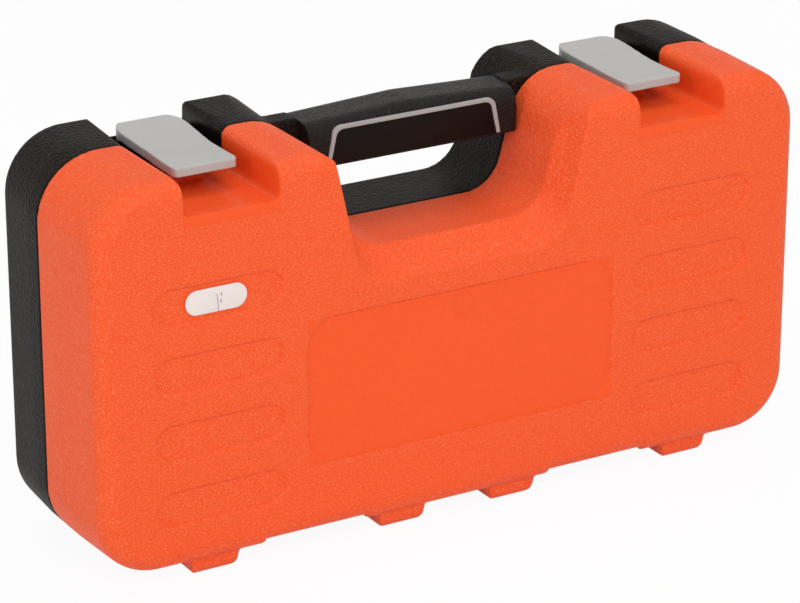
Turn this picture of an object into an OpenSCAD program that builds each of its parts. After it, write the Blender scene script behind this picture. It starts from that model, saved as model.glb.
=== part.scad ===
// Socket wrench set in a hinged carrying case, standing closed on its feet.
// X runs along the case, Y from the lid's face (front) to the base's back, Z up.
// The origin is under the middle of the case, on the surface that it stands on.

/* [Case] */
// Gap between the tools and the outside of the case at its ends
end_gap = 9.5; // [9.5:0.1:12]
// Depth of the lid, from the joint to its face
lid_d = 57.4; // [50:0.2:60]
// Depth of the base, from the joint to its back
base_d = 40; // [34:0.2:42]
// Corner radius of the case, seen from the front
corner_r = 31; // [28:1:34]
// Wall of the outer skins
wall = 2.5; // [2:0.1:3]
// Wall of the inner skins
skin = 1.6; // [1.2:0.1:2]
// Gap between the rims of the lid and the base
seam = 0.3; // [0.2:0.1:0.6]
// Height of the feet
foot_h = 6.7; // [6:0.1:8]
// Width of a foot
foot_w = 25; // [20:1:28]
// Middle of the two inner feet, from the middle of the case
foot_in_x = 31; // [24:1:32]
// Middle of the two outer feet, from the middle of the case
foot_out_x = 132; // [130:1:140]

/* [Handle notch] */
// Depth of the notch below the top of the case
notch_depth = 56.5; // [54:0.5:58]
// Half width of the notch at its floor, before the rounding
notch_half = 50; // [48:0.5:52]
// Half width of the notch at the top of the case
notch_top_half = 65; // [62:0.5:66]
// Height of the grip
grip_h = 25; // [20:1:27]
// Length of the grip
grip_w = 114; // [104:1:114]
// Rounding from the notch into the face of the lid
notch_round = 16; // [8:0.5:17]
// How far the grip stands in front of the joint
grip_front = 11; // [6:0.5:14]
// How far the grip reaches behind the joint
grip_back = 19; // [15:0.5:22]

/* [Latches] */
// Middle of a latch, from the middle of the case
latch_x = 122.25; // [121:0.25:123]
// Width of the channel that a latch lies in
channel_w = 48.5; // [47:0.5:50]
// Depth of the channel below the top of the case
channel_depth = 18.5; // [18:0.5:19.5]
// Greatest width of a latch
latch_w = 34; // [32:0.5:36]
// Length of a latch in front of its pivot
latch_reach = 62.5; // [58:0.5:64]
// Radius of the latch pins
latch_pin_r = 1.5; // [1.2:0.1:2]

/* [Hinge] */
// Radius of the hinge knuckles
knuckle_r = 3.6; // [3.2:0.1:3.7]
// Radius of the hinge pins
hinge_pin_r = 1.5; // [1.2:0.1:2]
// Radial clearance of a pin in a moving bore
running_fit = 0.05; // [0.02:0.01:0.1]

/* [Tools] */
// Width across the square drive
drive_sq = 12.7; // [12.7:0.1:13]
// Outside diameter of the drive end of a small socket
drive_end_d = 22; // [21:0.5:22]
// Length of a socket of up to 16 mm
socket_len = 38; // [36:1:38]
// Length of a spark plug socket
plug_len = 62; // [60:1:64]
// Gap between two neighbouring sockets
socket_gap = 2.5; // [2:0.1:2.5]
// Length of the long extension
long_ext = 250; // [200:5:250]
// Length of the short extension
short_ext = 125; // [100:5:125]
// Radius of the ratchet head
head_r = 19.5; // [19:0.5:20]
// Distance from the ratchet head's middle to the end of its handle
ratchet_reach = 229; // [200:1:230]
// Length of the ratchet's bare neck, from the head's middle to the sleeve
neck_len = 108; // [90:1:120]
// Clearance between a tool and its pocket
pocket_fit = 0.3; // [0.2:0.05:0.5]

/* [Hidden] */
$fn = 64;

// Sockets: size across flats of the nut end, and what follows from it.
row_sizes = [32, 30, 27, 24, 22, 21, 20, 19, 18, 17];
left_sizes = [10, 11, 12, 13];
right_sizes = [14, 15, 16];
plug_sizes = [16, 21];
wall_share = 1.25;
wall_extra = 2.6;
function nut_d(s) = wall_share * s + wall_extra;
function od(s) = max(drive_end_d, nut_d(s));
function nose_d(s) = min(od(s), nut_d(s));
function len(s) = socket_len + max(0, s - 16) * 0.45;
function sum_od(list, n) = n <= 0 ? 0 : od(list[n - 1]) + socket_gap + sum_od(list, n - 1);
function place_x(list, i) = sum_od(list, i) + od(list[i]) / 2;
function size_count(list) = sum([for (s = list) 1]);
function sum(v, i = 0) = v[i] == undef ? 0 : v[i] + sum(v, i + 1);

// The tools lie in layers, and the case is as long and as high as they need.
female_r = 11;
ujoint_r = 12.2;
layer_gap = 2.5;
floor_gap = 9.8;
row_gap = 5;
upper_gap = 5.8;
hump_gap = 6;
ujoint_gap = 11.15;
plug_gap = 2;
row_h = len(row_sizes[0]);
case_w = 2 * end_gap + long_ext + plug_gap + sum_od(plug_sizes, 2)
       + 2 * ujoint_r + ujoint_gap + 2 * female_r;
body_h = floor_gap + 2 * head_r + layer_gap + 2 * female_r + row_gap + row_h
       + upper_gap + socket_len + hump_gap + channel_depth;

// The joint plane lies off the middle of the depth, because the lid is deeper.
joint_y = (lid_d - base_d) / 2;
top_z = foot_h + body_h;
notch_z = top_z - notch_depth;
channel_z = top_z - channel_depth;
face_y = joint_y - lid_d;
back_y = joint_y + base_d;
lid_rim = joint_y - seam / 2;
base_rim = joint_y + seam / 2;
crease_at = 0.26;
lid_draft = 1.2;
base_draft = 1.4;
lid_edge = 9.5;
base_edge = 3;
base_rise = 2.8;
flank_share = 0.4;
recess = 1;
nudge = 0.02;

// Face panel and the eight raised-edge pills.
panel_size = [168.2, 73.4];
panel_z = foot_h + 74.8;
pill_size = [66.2, 16.9];
pill_x = 129.7;
pill_z0 = foot_h + 32.4;
pill_pitch = 33.1;
label_size = [31.4, 12, 0.4];
label_pos = [-131, pill_z0 + 3 * pill_pitch];

// Feet
foot_slope = 1.6;
foot_corner_r = 3.5;
foot_front_r = 6;
shoulder_w = [4, 10];
recess_h = 1.8;
foot_lid_y = [face_y + 5, joint_y - 20];
foot_base_y = [joint_y + 9, back_y - 4];

// Hinge: two rows of five knuckles, between the inner and the outer feet.
hinge_z = foot_h + recess_h - knuckle_r - 0.3;
hinge_x0 = foot_in_x + foot_w / 2 + shoulder_w[0] + 3;
hinge_x1 = foot_out_x - foot_w / 2 - shoulder_w[1] - 3;
knuckles = 5;
knuckle_gap = 0.4;
knuckle_pitch = (hinge_x1 - hinge_x0) / knuckles;

// Latches
pivot_r = 7.2;
pivot_bore_wall = 2.4;
pivot_y = back_y - pivot_r - 1.6;
pivot_z = top_z - 1.6 - pivot_r;
lug_w = 12;
lug_neck = 7.2;
lug_lean = 1.8;
ear_w = 3.4;
ear_gap = 0.4;
plate_t = 2.2;
skirt_t = 2;
skirt_h = 4.6;
latch_dip = 0.8;
lip_z = 4.9;
waist = 1.2;
scoop_r = pivot_r + 0.4;
back_lip_z = top_z - 10;
keeper_h = 4.2;
channel_flare = 5;
channel_fillet = 3;
keeper_y = [joint_y - 12.5, joint_y - 8.5];
nose_y = [joint_y - 20, joint_y - 14.5];
nose_gap = 0.6;

// Handle
strap_z = [top_z - 22, top_z - 3.2];
strap_y = [base_rim, joint_y + 12];
strap_low_z = top_z - 4.8;
grip_z = top_z - 1.2 - grip_h;
inlay_size = [95.5, 18.5, 1.2];
inlay_taper = 3.6;
grip_crown = 2.4;
bead_w = 2;
bead_proud = 0.5;

// Inner skins
lid_floor = 24;
base_floor_y = back_y - wall - 1;
inner_gap = 0.3;

// Places of the tools
tools_x0 = -case_w / 2 + end_gap;
row_x0 = tools_x0 - 1;
long_z = foot_h + floor_gap + 2 * head_r + layer_gap + female_r;
row_z = long_z + female_r + row_gap;
upper_z = row_z + row_h + upper_gap;
right_x0 = notch_top_half + 14;
plug_z = foot_h + floor_gap;
plug_x0 = tools_x0 + long_ext + plug_gap;

// Ratchet, lying along X with its square drive towards the base's back.
head_pos = [tools_x0 + 0.5 + head_r, foot_h + floor_gap + head_r];
head_y = [joint_y - 8, joint_y + 10];
cavity_r = 12;
gear_r = 10.9;
gear_teeth = 24;
gear_y = [joint_y - 4.5, joint_y + 4.8];
journal_r = 9.25;
hub_r = 6.8;
button_r = 4.6;
cover_t = 2;
cover_y = head_y[0];
head_floor = 4.8;
pawl_room = [16.8, 13];
stem_r = 2.4;
screw_in = 3.4;
screw_angles = [110, 250];
drive_len = 15.5;
pawl_x = head_pos[0] + gear_r + 0.4;
lever_x = head_pos[0] + 14.4;
tang_r = 6.5;
grip_r = 13.5;
grip_x0 = head_pos[0] + neck_len;
grip_x1 = head_pos[0] + ratchet_reach;

// Extensions and joint
rod_r = 6.6;
female_l = 30;
male_l = 16;
ball_r = 1.6;
ball_sink = 0.9;
ball_fit = 0.2;
ball_back = 8;
drive_fit = 0.3;
short_x = case_w / 2 - end_gap - female_r;
short_z = foot_h + 25;
ujoint_x = plug_x0 + sum_od(plug_sizes, 2) + ujoint_r;
ujoint_parts = [24, 38, 52];

// ---------------------------------------------------------------- outlines

// Rounds the corners of an outline; each point is [x, y, radius].
function corner(a, b, c, n) =
    let (u = unit(a - b), v = unit(c - b),
         half = acos(u * v) / 2,
         t = b[2] / tan(half),
         p = [b[0], b[1]] + u * t,
         m = unit(u + v),
         o = [b[0], b[1]] + m * b[2] / sin(half),
         s = [p[0] - o[0], p[1] - o[1]],
         turn = cross2(u, v) > 0 ? -(180 - 2 * half) : 180 - 2 * half)
    b[2] == 0 ? [[b[0], b[1]]]
    : [for (i = [0:n]) o + spin2(s, turn * i / n)];
function unit(v) = let (w = [v[0], v[1]]) w / norm(w);
function cross2(a, b) = a[0] * b[1] - a[1] * b[0];
function spin2(p, a) = [p[0] * cos(a) - p[1] * sin(a), p[0] * sin(a) + p[1] * cos(a)];
function rounded(pts, count, n = 8) =
    [for (i = [0:count - 1]) each corner(pts[(i + count - 1) % count], pts[i], pts[(i + 1) % count], n)];

// Puts a drawing in X and Z, and gives it its depth from y0 to y1.
module slab(y0, y1) {
    translate([0, y1, 0]) rotate([90, 0, 0]) linear_extrude(y1 - y0) children();
}

// A rounded rectangle about its centre, with true arcs.
module rect_r(w, h, r) {
    square([w - 2 * r, h], center = true);
    square([w, h - 2 * r], center = true);
    for (sx = [-1, 1], sz = [-1, 1])
        translate([sx * (w / 2 - r), sz * (h / 2 - r)]) circle(r);
}

// The handle notch, widened by e; where flared, its edge is rounded at the top of the case.
module notch_2d(e, flared = true) {
    top_r = flared ? 25 - e : 0;
    half = notch_top_half + e * 1.08;
    reach = half + top_r * 0.78;
    polygon(rounded([
        [-reach, top_z + 10, 0], [-reach, top_z, 0], [-half, top_z, top_r],
        [-notch_half - e, notch_z - e, 20 + e], [notch_half + e, notch_z - e, 20 + e],
        [half, top_z, top_r], [reach, top_z, 0], [reach, top_z + 10, 0]], 8));
}

// Both latch channels, widened by e; where flared, their walls open out at the top.
module channels_2d(e, floor_z, flared = true) {
    w = channel_w / 2 + e;
    flare = flared ? max(channel_flare - e, 0.5) : 0;
    for (sx = [-1, 1]) translate([sx * latch_x, 0])
        polygon(rounded([
            [-w - 2 * flare, top_z + 10, 0], [-w - 2 * flare, top_z, 0], [-w, top_z, flare],
            [-w, floor_z - e, channel_fillet + e], [w, floor_z - e, channel_fillet + e],
            [w, top_z, flare], [w + 2 * flare, top_z, 0], [w + 2 * flare, top_z + 10, 0]], 8, 4));
}

// The room inside the case, e inside its outer face.
module inside_2d(e) {
    difference() {
        translate([0, foot_h + body_h / 2])
            rect_r(case_w - 2 * e, body_h - 2 * e, corner_r - e);
        notch_2d(wall + inner_gap);
        channels_2d(wall + inner_gap, channel_z);
        recess_2d(e + inner_gap);
    }
}

// ---------------------------------------------------------------- outer skins

// A quarter of a half-case: its corner, turned about an axis along Z.
module corner_column(r, d, draft, edge, over) {
    rotate_extrude($fn = 48)
        polygon(concat([[0, -over], [r, -over], [r, d * crease_at]],
            [for (i = [0:6]) [r - draft - edge + edge * cos(15 * i), d - edge + edge * sin(15 * i)]],
            [[0, d]]));
}

// The plain block of a half-case, with its drafted sides and rounded far edge.
module half_block(d, draft, edge, e, over, rise = 0) {
    hull() for (sx = [-1, 1], end = [0, 1])
        translate([sx * (case_w / 2 - corner_r), 0, end == 0 ? foot_h + corner_r : top_z - corner_r])
            slope(-end * rise / d) rotate([90, 0, 0])
                corner_column(corner_r - e, d - e, draft, edge - e / 2, over);
}

// Tilts what follows, so that it rises by share for each length along Y.
module slope(share) {
    multmatrix([[1, 0, 0, 0], [0, 1, 0, 0], [0, share, 1, 0], [0, 0, 0, 1]]) children();
}

module base_block(e, over) {
    translate([0, base_rim, 0]) mirror([0, 1, 0])
        half_block(base_d - seam / 2, base_draft, base_edge, e, over, base_rise);
}

// Room of the notch and the channels in the base, as far as y1; the humps rise towards the back.
module base_cuts(y1, floor_z) {
    slab(base_rim - 1, y1) {
        notch_2d(0, false);
        channels_2d(0, floor_z, false);
    }
    translate([0, base_rim, 0]) slope(base_rise / base_d) slab(-1, y1 - base_rim) {
        notch_2d(0);
        channels_2d(0, floor_z);
    }
}

// A foot, narrower below, with rounded lower corners and a fillet into the body.
module foot_2d() {
    polygon(rounded([[-foot_w / 2 - 3, foot_h + 12, 0], [-foot_w / 2, foot_h, 2],
        [-foot_w / 2 + foot_slope, 0, foot_corner_r], [foot_w / 2 - foot_slope, 0, foot_corner_r],
        [foot_w / 2, foot_h, 2], [foot_w / 2 + 3, foot_h + 12, 0]], 6, 4));
}

// The two recesses in the underside that the hinge lies in, widened by e.
module recess_2d(e) {
    x0 = foot_in_x + foot_w / 2 + shoulder_w[0] - e;
    x1 = foot_out_x - foot_w / 2 - shoulder_w[1] + e;
    z1 = foot_h + recess_h + e;
    for (sx = [-1, 1]) scale([sx, 1])
        polygon(rounded([[x0 - 3, foot_h - 8, 0], [x0 - 3, foot_h, 1.5], [x0 + 3, z1, 1.5],
            [x1 - 3, z1, 1.5], [x1 + 3, foot_h, 1.5], [x1 + 3, foot_h - 8, 0]], 6, 3));
}

module feet(y0, y1) {
    for (sx = [-1, 1], x = [foot_in_x, foot_out_x])
        translate([sx * x, 0, 0]) intersection() {
            slab(y0, y1) foot_2d();
            rotate([90, 0, 90]) linear_extrude(2 * foot_w, center = true) polygon(rounded([
                [y0, 0, foot_front_r], [y1, 0, 1], [y1, foot_h + 12, 0], [y0, foot_h + 12, 0]], 4));
        }
}

// Room of the recesses in the lid, e larger; its front edge is rounded as the lid's own is.
module lid_recess(e) {
    z1 = foot_h + recess_h + lid_edge + lid_draft;
    difference() {
        slab(face_y - 1, lid_rim + (e > 0 ? 0 : 1)) {
            recess_2d(e);
            for (sx = [-1, 1]) scale([sx, 1])
                translate([hinge_x0 - e, foot_h]) square([hinge_x1 - hinge_x0 + 2 * e, z1 - foot_h]);
        }
        translate([0, lid_rim + 2, recess_h]) half_block(lid_d + 2 - seam / 2, lid_draft, lid_edge, e, 0);
    }
}

// Knuckles of one half: first is 0 for the base, 1 for the lid; side is +1 behind the joint.
module knuckle_row(first, side, bore_r) {
    for (sx = [-1, 1], i = [first:2:knuckles - 1]) {
        x0 = hinge_x0 + i * knuckle_pitch + knuckle_gap / 2;
        w = knuckle_pitch - knuckle_gap;
        mid = sx * (x0 + w / 2);
        difference() {
            union() {
                translate([mid - w / 2, joint_y, hinge_z]) rotate([0, 90, 0]) cylinder(r = knuckle_r, h = w);
                translate([mid - w / 2, side > 0 ? base_rim : lid_rim - knuckle_r + seam / 2, hinge_z])
                    cube([w, knuckle_r - seam / 2, foot_h + recess_h - hinge_z + 1]);
            }
            translate([mid - w / 2 - 1, joint_y, hinge_z]) rotate([0, 90, 0]) cylinder(r = bore_r, h = w + 2);
        }
    }
}

module lid_shell() color([0.98, 0.4, 0.23]) {
    difference() {
        union() {
            difference() {
                union() {
                    translate([0, lid_rim, 0]) half_block(lid_d - seam / 2, lid_draft, lid_edge, 0, 0);
                    feet(foot_lid_y[0], foot_lid_y[1]);
                }
                translate([0, lid_rim, 0]) half_block(lid_d - seam / 2, lid_draft, lid_edge, wall, 1);
            }
            // Floors and walls of the notch and the channels close the skin again.
            intersection() {
                translate([0, lid_rim, 0]) half_block(lid_d - seam / 2, lid_draft, lid_edge, 0.4, 0);
                union() {
                    slab(face_y - 1, lid_rim) {
                        notch_2d(wall);
                        channels_2d(wall, channel_z);
                    }
                    notch_bevel(wall);
                    lid_recess(wall);
                }
            }
        }
        slab(face_y - 1, lid_rim + 1) notch_2d(0);
        slab(face_y - 1, lid_rim + 1) channels_2d(0, channel_z);
        lid_recess(0);
        notch_bevel(0);
        slab(face_y - 1, face_y + recess) translate([0, panel_z]) rect_r(panel_size[0], panel_size[1], 14);
        for (sx = [-1, 1], i = [0:3])
            slab(face_y - 1, face_y + recess) translate([sx * pill_x, pill_z0 + i * pill_pitch])
                rect_r(pill_size[0], pill_size[1], pill_size[1] / 2 - nudge);
    }
    knuckle_row(1, -1, hinge_pin_r + running_fit);
    // Keeper rib that the latch nose snaps over.
    for (sx = [-1, 1])
        translate([sx * latch_x - 9, keeper_y[0], channel_z - wall / 2])
            cube([18, keeper_y[1] - keeper_y[0], keeper_h + wall / 2]);
}

// The rounding from the notch into the lid's face, grown by e; it is tighter on the flanks.
module notch_bevel(e) {
    r = notch_round;
    hull() for (a = [0:15:75])
        slab(face_y - 1, face_y + r * (1 - sin(a)) + e) bevel_2d(r * (1 - cos(a)), e);
}

module bevel_2d(drop, e) {
    flare = (notch_top_half - notch_half) / notch_depth;
    half = notch_half + flank_share * drop + e;
    top_half = notch_top_half + flank_share * drop + e + 5 * flare;
    polygon(rounded([[-top_half, top_z + 5, 0], [-half, notch_z - drop - e, 20 + e],
        [half, notch_z - drop - e, 20 + e], [top_half, top_z + 5, 0]], 4));
}

module base_shell() color([0.17, 0.16, 0.155]) {
    difference() {
        union() {
            difference() {
                union() {
                    base_block(0, 0);
                    feet(foot_base_y[0], foot_base_y[1]);
                }
                base_block(wall, 1);
            }
            intersection() {
                base_block(0.4, 0);
                slab(base_rim, back_y + 1) {
                    notch_2d(wall);
                    channels_2d(wall, channel_z);
                    recess_2d(wall);
                }
            }
        }
        base_cuts(back_y - wall, channel_z);
        base_cuts(back_y + 1, back_lip_z);
        slab(base_rim - 1, back_y + 1) recess_2d(0);
        for (sx = [-1, 1]) translate([sx * latch_x - channel_w / 2, pivot_y, pivot_z])
            rotate([0, 90, 0]) cylinder(r = scoop_r, h = channel_w);
    }
    knuckle_row(0, 1, hinge_pin_r + 0.02);
    latch_lugs();
    strap();
}

// Lugs that hold the latch pins, leaning forward so that the latch can swing past them.
module latch_lugs() {
    for (sx = [-1, 1]) translate([sx * latch_x - lug_w / 2, 0, 0]) difference() {
        union() {
            translate([0, pivot_y, pivot_z]) rotate([0, 90, 0]) cylinder(r = pivot_bore_wall + latch_pin_r, h = lug_w);
            translate([0, pivot_y - lug_lean - lug_neck, channel_z - wall / 2])
                cube([lug_w, lug_neck, pivot_z - channel_z + wall / 2 - 1]);
        }
        translate([-1, pivot_y, pivot_z]) rotate([0, 90, 0]) cylinder(r = latch_pin_r + 0.02, h = lug_w + 2);
    }
}

// The strap that carries the grip, between the two humps; it is lower inside the grip.
module strap() {
    difference() {
        intersection() {
            translate([-case_w / 2, strap_y[0], strap_z[0]])
                cube([case_w, strap_y[1] - strap_y[0], strap_z[1] - strap_z[0]]);
            slab(base_rim, back_y) notch_2d(wall - 0.2);
        }
        translate([-grip_w / 2 - inner_gap, strap_y[0] - 1, strap_low_z])
            cube([grip_w + 2 * inner_gap, strap_y[1] - strap_y[0] + 2, 10]);
    }
}

// ---------------------------------------------------------------- inner skins

module lid_liner() color([0.93, 0.36, 0.2]) {
    difference() {
        union() {
            slab(lid_rim - lid_floor, lid_rim) inside_2d(wall + lid_draft);
            slab(lid_rim - skin, lid_rim) inside_2d(wall + inner_gap);
        }
        slab(lid_rim - lid_floor + skin, lid_rim + 1) offset_inside();
    }
}

// The liner's hollow: the same outline, one skin further in.
module offset_inside() {
    difference() {
        translate([0, foot_h + body_h / 2])
            rect_r(case_w - 2 * (wall + lid_draft + skin), body_h - 2 * (wall + lid_draft + skin),
                   corner_r - wall - lid_draft - skin);
        notch_2d(wall + inner_gap + skin);
        channels_2d(wall + inner_gap + skin, channel_z);
    }
}

// One pocket: a trough for a round tool lying along X or Z in the joint plane.
module trough(r, l, grow) {
    translate([0, 0, -grow]) cylinder(r = r + grow, h = l + 2 * grow);
}

module upright(x, z, r, l, grow) {
    translate([x, joint_y, z]) trough(r, l, grow);
}

module along(x, z, r, l, grow) {
    translate([x, joint_y, z]) rotate([0, 90, 0]) trough(r, l, grow);
}

// The room of every tool, grown by g on all sides.
module tool_rooms(g) {
    for (i = [0:size_count(row_sizes) - 1])
        upright(row_x0 + place_x(row_sizes, i), row_z, od(row_sizes[i]) / 2, len(row_sizes[i]), g);
    for (i = [0:size_count(left_sizes) - 1])
        upright(tools_x0 + place_x(left_sizes, i), upper_z, od(left_sizes[i]) / 2, len(left_sizes[i]), g);
    for (i = [0:size_count(right_sizes) - 1])
        upright(right_x0 + place_x(right_sizes, i), upper_z, od(right_sizes[i]) / 2, len(right_sizes[i]), g);
    for (i = [0:size_count(plug_sizes) - 1])
        upright(plug_x0 + place_x(plug_sizes, i), plug_z, od(plug_sizes[i]) / 2, plug_len, g);
    upright(ujoint_x, plug_z, ujoint_r, ujoint_parts[2] + male_l, g);
    upright(short_x, short_z, female_r, short_ext, g);
    along(tools_x0, long_z, female_r, long_ext, g);
    along(grip_x0, head_pos[1], grip_r, grip_x1 - grip_x0, g);
    along(head_pos[0], head_pos[1], tang_r + 2, grip_x0 - head_pos[0], g);
    // Round head and its square drive, straight back from the joint.
    translate([head_pos[0], joint_y - 1, head_pos[1]]) rotate([-90, 0, 0]) {
        cylinder(r = head_r + g, h = head_y[1] - joint_y + 1 + g);
        cylinder(r = drive_sq * 0.72 + 1 + g, h = head_y[1] - joint_y + drive_len + 2 + g);
    }
}

module base_tray() color([0.2, 0.19, 0.185]) {
    difference() {
        intersection() {
            union() {
                slab(base_rim, base_rim + skin) inside_2d(wall + base_draft);
                tool_rooms(pocket_fit + skin);
            }
            slab(base_rim, base_floor_y) inside_2d(wall + base_draft);
        }
        tool_rooms(pocket_fit);
    }
}

// ---------------------------------------------------------------- latches, pins, grip, label

// Height of a latch's top over its pivot, at the share t of its reach.
function latch_top(t) = lip_z + (pivot_r - lip_z) * (1 + cos(180 * t)) / 2 - latch_dip * sin(180 * t);

// Side view of a latch, d below its top: a round back about the pivot, and a lip in front.
module latch_side_2d(d, depth, reach) {
    polygon(concat(
        [for (a = [0:15:90]) [(pivot_r - d) * cos(a), (pivot_r - d) * sin(a)]],
        [for (i = [1:12]) [-reach * i / 12, latch_top(i / 12) - d]],
        [[-reach - (d > 0 ? 0 : 0.8), latch_top(1) - (d > 0 ? depth : 0.8)], [-reach - (d > 0 ? 0 : 1.2), latch_top(1) - depth]],
        [for (i = [11:-1:2]) [-reach * i / 12, latch_top(i / 12) - depth]],
        [[d > 0 ? pivot_r - d : -2, d > 0 ? -depth : 0]]));
}

// Plan of a latch, e inside its edge: round at the back, waisted, with rounded front corners.
module latch_plan_2d(e) {
    w = latch_w / 2 - e;
    front = -latch_reach - 2 + e;
    polygon(rounded([
        [-w, pivot_r - e, w - 0.5], [-w, -14, 20], [-w + waist, -36, 30], [-w + waist / 2, front, 4 - e],
        [w - waist / 2, front, 4 - e], [w - waist, -36, 30], [w, -14, 20], [w, pivot_r - e, w - 0.5]], 8));
}

// The latch's cover: a tray upside down, with skirts all round.
module latch_plate() {
    difference() {
        intersection() {
            translate([-latch_w / 2 - 1, 0, 0]) rotate([90, 0, 90])
                linear_extrude(latch_w + 2) latch_side_2d(0, skirt_h, latch_reach);
            translate([0, 0, -12]) linear_extrude(24) latch_plan_2d(0);
        }
        intersection() {
            translate([-latch_w / 2 - 1, 0, 0]) rotate([90, 0, 90])
                linear_extrude(latch_w + 2) latch_side_2d(plate_t, 12, latch_reach - skirt_t);
            translate([0, 0, -12]) linear_extrude(24) latch_plan_2d(skirt_t);
        }
    }
}

module latch() color([0.74, 0.74, 0.73]) {
    eye_r = pivot_bore_wall + latch_pin_r - 0.1;
    latch_plate();
    for (sx = [-1, 1]) translate([sx * (lug_w / 2 + ear_gap + ear_w / 2) - ear_w / 2, 0, 0]) difference() {
        union() {
            rotate([0, 90, 0]) cylinder(r = eye_r, h = ear_w);
            translate([0, -eye_r, 0]) cube([ear_w, eye_r + 1, pivot_r - plate_t + 0.4]);
        }
        translate([-1, 0, 0]) rotate([0, 90, 0]) cylinder(r = latch_pin_r + running_fit, h = ear_w + 2);
    }
    // Nose that snaps in front of the keeper rib.
    nose_z = channel_z + keeper_h + nose_gap - pivot_z;
    nose_top = latch_top((pivot_y - nose_y[0]) / latch_reach) - plate_t + 0.4;
    translate([-8, nose_y[0] - pivot_y, nose_z])
        cube([16, nose_y[1] - nose_y[0], nose_top - nose_z]);
}

module latch_left() translate([-latch_x, pivot_y, pivot_z]) latch();
module latch_right() translate([latch_x, pivot_y, pivot_z]) latch();

module latch_pins() color([0.7, 0.7, 0.72]) {
    half = lug_w / 2 + ear_gap + ear_w;
    for (sx = [-1, 1]) translate([sx * latch_x - half, pivot_y, pivot_z])
        rotate([0, 90, 0]) cylinder(r = latch_pin_r, h = 2 * half);
}

module hinge_pins() color([0.7, 0.7, 0.72]) {
    for (sx = [-1, 1]) translate([sx * (hinge_x0 + hinge_x1) / 2 - (hinge_x1 - hinge_x0) / 2, joint_y, hinge_z])
        rotate([0, 90, 0]) cylinder(r = hinge_pin_r, h = hinge_x1 - hinge_x0);
}

// Section of the grip in Y and Z, rounded on top; the top is h high.
function grip_section(h) = [[-grip_front, 0, 1.5], [grip_back, 0, 6], [grip_back, h, 9], [-grip_front, h - 1, 8]];

// Half of the grip, from its middle to its end; the top falls by the crown.
module grip_half() {
    hull() for (end = [0, 1])
        translate([end * (grip_w / 2 - 1), joint_y, grip_z]) rotate([90, 0, 90])
            linear_extrude(1) polygon(rounded(grip_section(grip_h - end * grip_crown), 4));
}

// Outline of the inlay, e inside the bead; it is open at the bottom.
module inlay_2d(e) {
    w = inlay_size[0] / 2 - e;
    h = inlay_size[1] - e;
    translate([0, grip_z + 1.5])
        polygon(rounded([[-w, 0, 0], [w, 0, 0], [w - inlay_taper, h, 5 - e / 2], [-w + inlay_taper, h, 5 - e / 2]], 4));
}

module grip_sleeve() color([0.12, 0.115, 0.11]) {
    difference() {
        union() {
            grip_half();
            mirror([1, 0, 0]) grip_half();
        }
        translate([-grip_w, strap_y[0], strap_z[0]])
            cube([2 * grip_w, strap_y[1] - strap_y[0], strap_low_z - strap_z[0]]);
        slab(joint_y - grip_front - 1, joint_y - grip_front + inlay_size[2]) inlay_2d(-nudge);
    }
}

module grip_inlay() color([0.1, 0.095, 0.09]) {
    slab(joint_y - grip_front, joint_y - grip_front + inlay_size[2]) inlay_2d(bead_w + nudge);
}

module grip_bead() color([0.66, 0.65, 0.64]) {
    difference() {
        slab(joint_y - grip_front - bead_proud, joint_y - grip_front + inlay_size[2]) inlay_2d(0);
        slab(joint_y - grip_front - 2, joint_y - grip_front + inlay_size[2] + 1) inlay_2d(bead_w);
        slab(joint_y - grip_front - 2, joint_y - grip_front + inlay_size[2] + 1)
            translate([-inlay_size[0] / 2 + bead_w + 0.5, grip_z]) square([inlay_size[0] - 2 * bead_w - 1, 5]);
    }
}

module label_plate() color([0.9, 0.88, 0.86]) {
    slab(face_y + recess - label_size[2], face_y + recess) translate(label_pos)
        rect_r(label_size[0], label_size[1], label_size[1] / 2 - nudge);
}

// ---------------------------------------------------------------- tools

module drive_hole(depth) {
    across = drive_sq + drive_fit;
    translate([0, 0, depth / 2 - 0.5]) cube([across, across, depth + 1], center = true);
}

// A hexagon socket standing on its drive end.
module socket_tool(s, l) color([0.75, 0.75, 0.76]) {
    flats_r = s / 2 / cos(30);
    narrow = od(s) > nose_d(s) + 0.01;
    difference() {
        union() {
            cylinder(r = od(s) / 2, h = narrow ? 18 : l);
            if (narrow) {
                translate([0, 0, 18]) cylinder(r1 = od(s) / 2, r2 = nose_d(s) / 2, h = 3, $fn = 64);
                cylinder(r = nose_d(s) / 2, h = l);
            }
        }
        drive_hole(15);
        translate([0, 0, 14]) cylinder(r = min(s * 0.45, drive_sq / 2), h = l);
        translate([0, 0, l - s * 0.55 - 3]) cylinder(r = flats_r + 0.1, h = l, $fn = 6);
    }
}

module socket_at(list, i, x0, z) {
    translate([x0 + place_x(list, i), joint_y, z]) socket_tool(list[i], len(list[i]));
}

module plug_socket_at(i) {
    translate([plug_x0 + place_x(plug_sizes, i), joint_y, plug_z]) color([0.75, 0.75, 0.76]) difference() {
        cylinder(r = od(plug_sizes[i]) / 2, h = plug_len);
        drive_hole(15);
        translate([0, 0, 14]) cylinder(r = plug_sizes[i] * 0.42, h = plug_len);
        translate([0, 0, plug_len - 14]) cylinder(r = plug_sizes[i] / 2 / cos(30) + 0.1, h = plug_len, $fn = 6);
    }
}

// Rubber sleeves that hold the spark plug inside its socket.
module plug_inserts() color([0.08, 0.08, 0.08]) {
    for (i = [0, 1]) translate([plug_x0 + place_x(plug_sizes, i), joint_y, plug_z + 32]) difference() {
        cylinder(r = plug_sizes[i] * 0.42, h = 14);
        translate([0, 0, -1]) cylinder(r = plug_sizes[i] * 0.42 - 2.4, h = 16);
    }
}

module at_head(y) {
    translate([head_pos[0], y, head_pos[1]]) rotate([-90, 0, 0]) children();
}

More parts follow.
